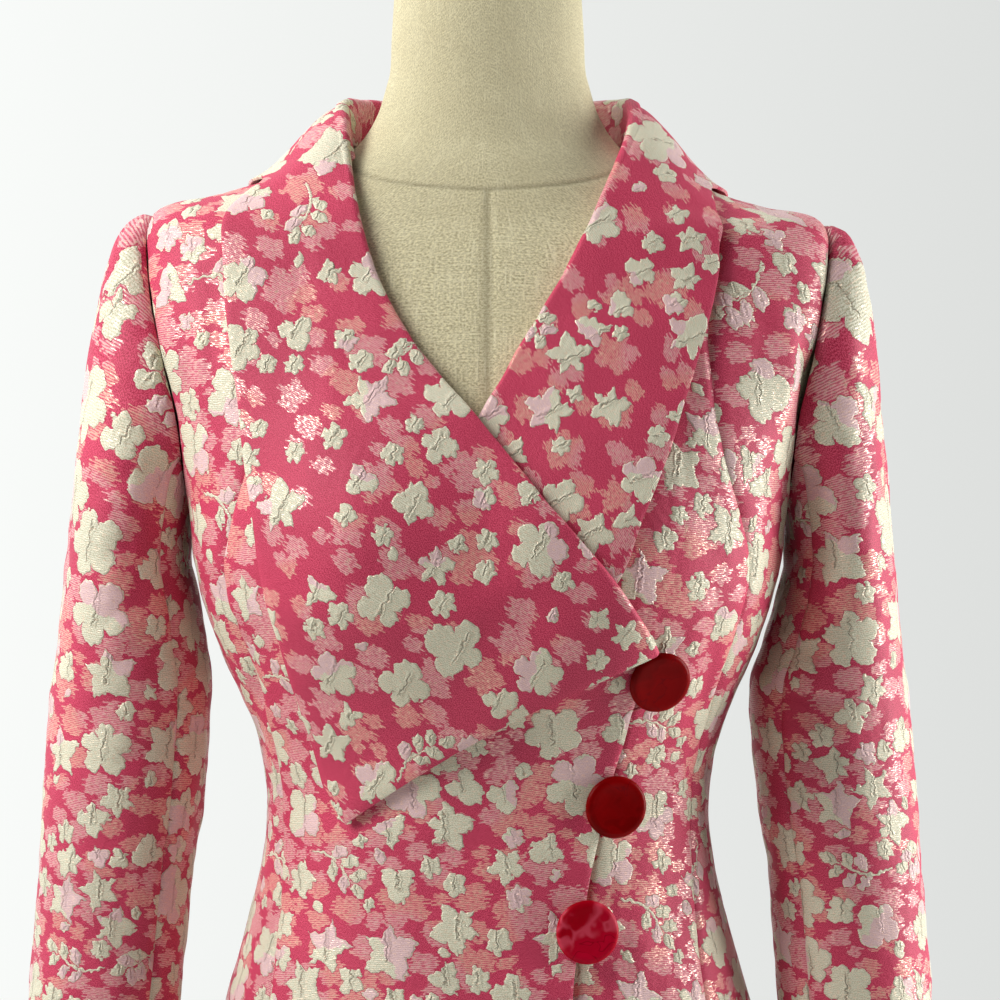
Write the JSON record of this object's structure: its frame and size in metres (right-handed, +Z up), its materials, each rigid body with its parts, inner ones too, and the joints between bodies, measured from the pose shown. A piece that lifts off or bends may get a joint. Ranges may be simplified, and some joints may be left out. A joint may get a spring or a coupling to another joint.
{
  "type": "jacquard jacket on dress form",
  "caption": "Fitted double-breasted jacket with a wide crossing shawl collar and round shank buttons in floral jacquard, on a linen dress form with a round stand.",
  "frame": {"origin": "centre of the underside of the stand's base", "axes": "+Z up along the stand's pole; the jacket's front faces -Y; +X is the wearer's left"},
  "size_m": [0.531, 0.3, 0.945],
  "materials": {
    "pink_jacquard": "raised floral jacquard",
    "red_plastic": "polished",
    "red_cord": "twisted cord",
    "linen": "plain weave",
    "pale_wood": "satin varnish",
    "brushed_steel": "brushed"
  },
  "bodies": {
    "root": {"right_front": "pink_jacquard", "left_front": "pink_jacquard", "right_side_front": "pink_jacquard", "left_side_front": "pink_jacquard", "right_side_back": "pink_jacquard", "left_side_back": "pink_jacquard", "right_back": "pink_jacquard", "left_back": "pink_jacquard", "right_lapel": "pink_jacquard", "left_lapel": "pink_jacquard", "right_upper_sleeve": "pink_jacquard", "left_upper_sleeve": "pink_jacquard", "right_under_sleeve": "pink_jacquard", "left_under_sleeve": "pink_jacquard", "button_1": "red_plastic", "button_2": "red_plastic", "button_3": "red_plastic", "button_loop_1": "red_cord", "button_loop_2": "red_cord", "button_loop_3": "red_cord", "form_body": "linen", "neck_cap": "pale_wood", "pole": "brushed_steel", "stand_base": "pale_wood"}
  },
  "joints": []
}
